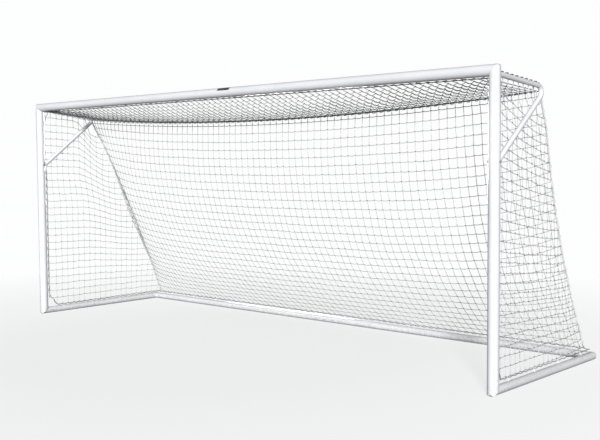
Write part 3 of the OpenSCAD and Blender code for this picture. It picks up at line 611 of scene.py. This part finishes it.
def frames_along(line):
    """Two directions square to a line that don't turn suddenly along it."""
    tangent = unit(np.gradient(line, axis=0))
    first = np.array([0, 0, 1.0]) if abs(tangent[0, 2]) < 0.9 else np.array([0, 1.0, 0])
    u = np.zeros_like(line)
    last = unit(first - tangent[0] * (first @ tangent[0]))
    for i, t in enumerate(tangent):
        last = unit(last - t * (last @ t))
        u[i] = last
    return u, np.cross(tangent, u)


def strand_tube(line, radius, sides=6):
    u, v = frames_along(line)
    turn = 2 * np.pi * np.arange(sides) / sides
    ring = np.cos(turn)[None, :, None] * u[:, None] + np.sin(turn)[None, :, None] * v[:, None]
    points = (line[:, None] + radius * ring).reshape(-1, 3)
    n = len(line)
    a = (np.arange(n - 1)[:, None] * sides + np.arange(sides)[None]).ravel()
    b = (np.arange(n - 1)[:, None] * sides + (np.arange(sides)[None] + 1) % sides).ravel()
    quads = np.stack([a, b, b + sides, a + sides], 1).tolist()
    caps = [list(range(sides - 1, -1, -1)), list(range((n - 1) * sides, n * sides))]
    return points, quads + caps


def laid_rope(parts, line, radius, pitch, strands=3):
    """A rope of twisted strands along a line."""
    u, v = frames_along(line)
    step = np.concatenate([[0], np.cumsum(np.linalg.norm(np.diff(line, axis=0), axis=1))])
    core = radius * 0.5
    for k in range(strands):
        turn = 2 * np.pi * (step / pitch + k / strands)
        off = np.cos(turn)[:, None] * u + np.sin(turn)[:, None] * v
        parts.add(*strand_tube(line + core * off, radius * 0.52, 6))


def lacing(parts, line, radius, reach, pitch):
    """A cord that winds round a line, once for each mesh."""
    u, v = frames_along(line)
    step = np.concatenate([[0], np.cumsum(np.linalg.norm(np.diff(line, axis=0), axis=1))])
    turn = 2 * np.pi * step / pitch
    off = np.cos(turn)[:, None] * u + np.sin(turn)[:, None] * v
    parts.add(*strand_tube(line + reach * off, radius, 6))


build_nets()


def rope_line():
    x = np.linspace(-ROPE_END_X, ROPE_END_X, 900)
    return np.stack([x, np.full_like(x, ROPE_Y), rope_z(x)], 1)


top_rope = Parts()
laid_rope(top_rope, rope_line(), ROPE_R * 1.15, 0.034)
made = top_rope.build("rear_top_rope_strands", MATERIALS["black_cord"], "black_cord")
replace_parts(made, "rear_top_rope")

for name, side in (("left", -1), ("right", 1)):
    heights = np.linspace(CORNER_LOW.z, CORNER_HIGH.z, 24)
    route = smooth_route([corner_rope_point(side, z) for z in heights], 0.006)
    rope = Parts()
    laid_rope(rope, route, 0.0062, 0.040)
    lacing(rope, route, 0.0020, 0.0082, 0.068)
    made = rope.build(name + "_corner_rope_strands", MATERIALS["white_rope"], "white_rope")
    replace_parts(made, name + "_corner_rope")


def post_points(side):
    """The lace behind a post keeps the hooks' distance from the post's axis."""
    places = []
    for z in (0.19, BRACE_CLEAR_Z - 0.05, BRACE_CLEAR_Z, BAR_Z - 0.158):
        x = float(side_front(side, z))
        places.append((x, math.sqrt(POST_LINE_Y**2 - (x - side * POST_X) ** 2), z))
    return places


LACE_FOOT_Y = 0.134
LACE_END_GAP = 0.014
LACE_PITCH = 0.070
ARM_LOOP_PITCH = 0.062
LACE_TOP_X = POST_X - TUBE_R - 0.040
frame_route = [(-SIDE_LINE_X, LACE_FOOT_Y, GROUND_LINE_Z)]
frame_route += post_points(-1)
frame_route += [(x, BAR_LINE_Y, BAR_LINE_Z) for x in (-LACE_TOP_X, LACE_TOP_X)]
frame_route += post_points(1)[::-1]
frame_route += [
    (SIDE_LINE_X, LACE_FOOT_Y, GROUND_LINE_Z),
    (SIDE_LINE_X, REAR_LINE_Y, GROUND_LINE_Z),
    (-SIDE_LINE_X, REAR_LINE_Y, GROUND_LINE_Z),
    (-SIDE_LINE_X, LACE_FOOT_Y + LACE_END_GAP, GROUND_LINE_Z),
]
lace = Parts()
lacing(lace, smooth_route(frame_route, 0.008), LACE_R * 0.85, 0.0032, LACE_PITCH)
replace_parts(lace.build("frame_lacing", MATERIALS["black_cord"], "black_cord"), "frame_lace")

for name, side in (("left", -1), ("right", 1)):
    # the lace loops over the arm's top from the net's top row beside it
    along = np.arange(POST_LINE_Y + 0.008, ARM_END_Y - 0.004, 0.0045)
    over = np.radians(35 + 55 * np.cos(2 * np.pi * along / ARM_LOOP_PITCH))
    reach = ARM_R + LACE_R
    route = [
        side * POST_X - reach * np.sin(over),
        along,
        ARM_TOP_Z - ARM_SLOPE * (along - POST_LINE_Y) + reach * np.cos(over),
    ]
    arm = Parts()
    arm.add(*strand_tube(np.stack(route, 1), LACE_R * 0.9))
    made = arm.build(name + "_arm_lacing", MATERIALS["black_cord"], "black_cord")
    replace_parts(made, name + "_arm_lace")

# ---------- blank label on the crossbar ----------


def crossbar_label():
    """A plain dark film on the upper front of the crossbar, with no marks on it."""
    radius = TUBE_R + 0.0005
    along = np.linspace(0.060, 0.195, 12)
    round_ = np.radians(np.linspace(-158, -118, 12))
    points, faces = [], []
    for skin in (0.0, 0.0004):
        for a in round_:
            for x in along:
                r = radius + skin
                points.append((x, r * math.cos(a), BAR_Z - r * math.sin(a)))
    n, m = len(round_), len(along)
    low = n * m
    for i in range(n - 1):
        for j in range(m - 1):
            a = i * m + j
            faces.append((a, a + 1, a + m + 1, a + m))
            faces.append((low + a, low + a + m, low + a + m + 1, low + a + 1))
    rim = [j for j in range(m)] + [i * m + m - 1 for i in range(1, n)]
    rim += [(n - 1) * m + j for j in range(m - 2, -1, -1)] + [i * m for i in range(n - 2, 0, -1)]
    for a, b in zip(rim, rim[1:] + rim[:1]):
        faces.append((b, a, a + low, b + low))
    return add_mesh("blank_label", points, faces, label_film())


crossbar_label()

# ---------- looks of the CAD nodes ----------

slots = {s["node"]: s["material_slot"] for s in frame["record"]["subparts"]}
for name, node in nodes.items():
    look = MATERIALS.get(slots.get(name))
    if look is not None:
        node.data.materials.clear()
        node.data.materials.append(look)

# ---------- stage ----------

BACKDROP = (0.985, 0.987, 0.99)


def make_floor():
    rings = [0.0, 1.5, 3, 5, 8, 12, 20, 40, 90, 200]
    points = [(0, 0, 0)]
    faces = []
    count = 48
    for r in rings[1:]:
        points += [
            (r * math.cos(2 * math.pi * k / count), r * math.sin(2 * math.pi * k / count), 0)
            for k in range(count)
        ]
    for k in range(count):
        faces.append((0, 1 + k, 1 + (k + 1) % count))
    for i in range(len(rings) - 2):
        for k in range(count):
            a, b = 1 + i * count + k, 1 + i * count + (k + 1) % count
            faces.append((a, a + count, b + count, b))
    mesh = bpy.data.meshes.new("floor")
    mesh.from_pydata(points, [], faces)
    floor = bpy.data.objects.new("floor", mesh)
    bpy.context.scene.collection.objects.link(floor)
    s = Shader("floor_paper", Roughness=0.9)
    s.shader.inputs["Specular IOR Level"].default_value = 0.1
    tone = s.ramp(s.noise(0.8, 3), (0.3, (0.86, 0.865, 0.87)), (0.7, (0.88, 0.885, 0.89)))
    s.link(tone, s.shader.inputs["Base Color"])
    glow = s.node("ShaderNodeEmission")
    glow.inputs["Color"].default_value = (*BACKDROP, 1)
    away = s.node("ShaderNodeVectorMath", operation="LENGTH")
    s.link(s.place(), away.inputs[0])
    far = s.node("ShaderNodeMapRange")
    for socket, value in (("From Min", 1.5), ("From Max", 6), ("To Min", 0.72), ("To Max", 1.0)):
        far.inputs[socket].default_value = value
    s.link(away.outputs["Value"], far.inputs["Value"])
    blend = s.node("ShaderNodeMixShader")
    s.link(far.outputs["Result"], blend.inputs["Fac"])
    s.link(s.shader.outputs["BSDF"], blend.inputs[1])
    s.link(glow.outputs["Emission"], blend.inputs[2])
    output = next(n for n in s.tree.nodes if n.type == "OUTPUT_MATERIAL")
    s.link(blend.outputs["Shader"], output.inputs["Surface"])
    mesh.materials.append(s.material)
    # the pale floor is seen but throws no light up, so that the tubes' undersides stay shaded
    floor.visible_diffuse = floor.visible_glossy = False


def make_sun(name, place, spread, strength):
    """A broad, even studio light that shines from the direction of place."""
    data = bpy.data.lights.new(name, "SUN")
    data.angle = math.radians(spread)
    data.energy = strength
    light = bpy.data.objects.new(name, data)
    light.rotation_mode = "QUATERNION"
    light.rotation_quaternion = (-Vector(place)).to_track_quat("-Z", "Y")
    bpy.context.scene.collection.objects.link(light)


def make_world():
    """The camera sees a plain white backdrop. The object is lit by a softer, shaded sky."""
    world = bpy.data.worlds.new("studio")
    bpy.context.scene.world = world
    world.use_nodes = True
    tree = world.node_tree
    seen = tree.nodes["Background"]
    seen.inputs["Color"].default_value = (*BACKDROP, 1)
    lit = tree.nodes.new("ShaderNodeBackground")
    place = tree.nodes.new("ShaderNodeTexCoord")
    height = tree.nodes.new("ShaderNodeSeparateXYZ")
    tree.links.new(place.outputs["Generated"], height.inputs["Vector"])
    shade = tree.nodes.new("ShaderNodeMapRange")
    steps = (("From Min", -0.5), ("From Max", 0.5), ("To Min", 0.06), ("To Max", 0.18))
    for socket, value in steps:
        shade.inputs[socket].default_value = value
    tree.links.new(height.outputs["Z"], shade.inputs["Value"])
    tree.links.new(shade.outputs["Result"], lit.inputs["Strength"])
    lit.inputs["Color"].default_value = (0.93, 0.96, 1.0, 1)
    rays = tree.nodes.new("ShaderNodeLightPath")
    either = tree.nodes.new("ShaderNodeMixShader")
    tree.links.new(rays.outputs["Is Camera Ray"], either.inputs["Fac"])
    tree.links.new(lit.outputs["Background"], either.inputs[1])
    tree.links.new(seen.outputs["Background"], either.inputs[2])
    tree.links.new(either.outputs["Shader"], tree.nodes["World Output"].inputs["Surface"])


bpy.context.scene.view_settings.view_transform = "Standard"
make_floor()
make_sun("key", (0.60, -0.76, 0.24), 10, 4.5)
make_sun("from_behind", (-0.66, 0.74, 0.02), 8, 2.4)
make_world()
